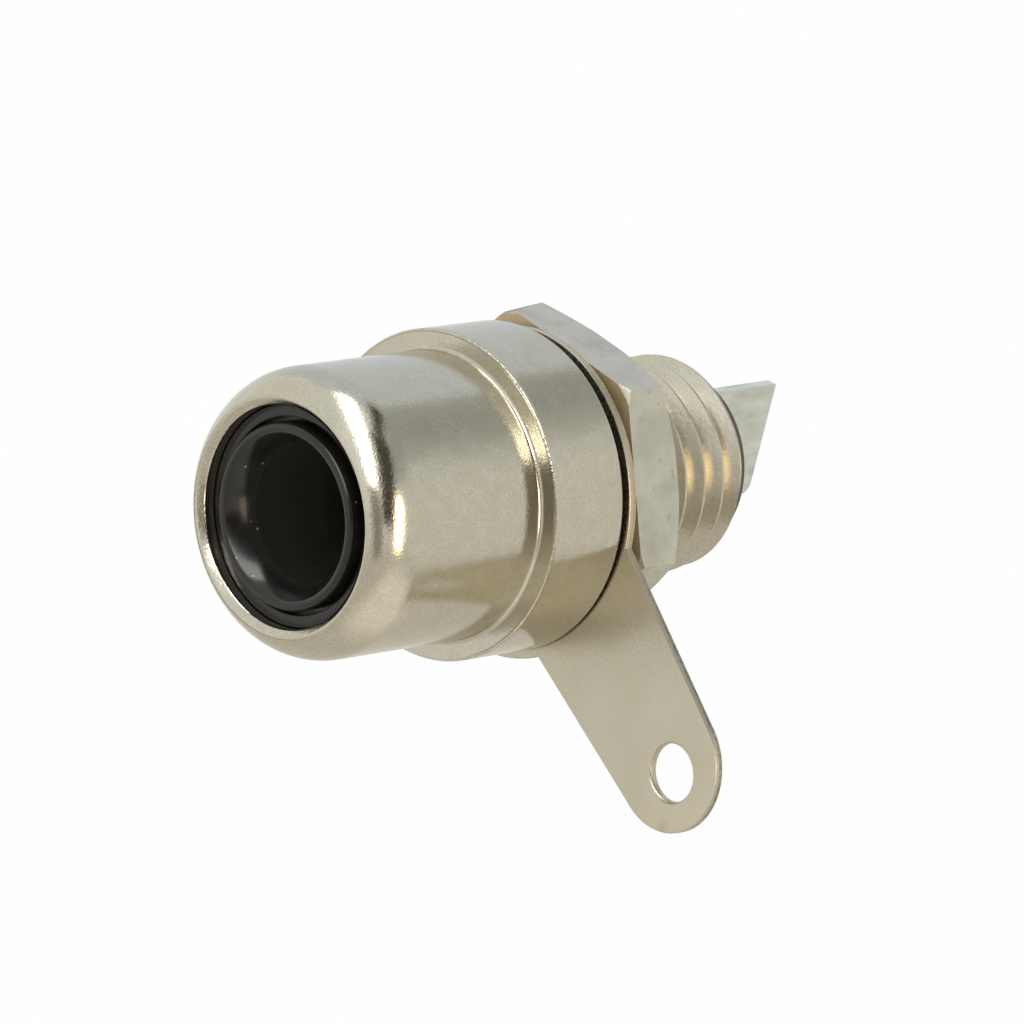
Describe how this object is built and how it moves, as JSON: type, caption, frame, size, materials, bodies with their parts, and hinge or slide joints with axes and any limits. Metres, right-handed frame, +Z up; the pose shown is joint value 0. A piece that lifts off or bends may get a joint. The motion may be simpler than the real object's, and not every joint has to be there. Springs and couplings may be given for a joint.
{
  "type": "rca socket",
  "caption": "Panel-mount phono socket: round contact sleeve with a rounded rim, collar, threaded barrel, insulated centre contact, solder tag and clamping nut.",
  "frame": {"origin": "on the socket's axis, in the collar's front face, where a plug's skirt stops", "axes": "+Y along the axis from the mouth to the terminals, +Z up, +X to the right as seen from the mouth"},
  "size_m": [0.0131, 0.0204, 0.0143],
  "materials": {
    "nickel_shell": "turned brass with bright nickel plating",
    "black_moulding": "moulded, satin black",
    "tinned_contact": "stamped and rolled sheet, tin plated",
    "nickel_sheet": "stamped sheet, dull nickel plating",
    "nickel_nut": "stamped nut, dull nickel plating"
  },
  "bodies": {
    "root": {"shell": "nickel_shell", "front_insulator": "black_moulding", "rear_insulator": "black_moulding", "centre_contact": "tinned_contact", "solder_tag": "nickel_sheet", "hex_nut": "nickel_nut"}
  },
  "joints": []
}
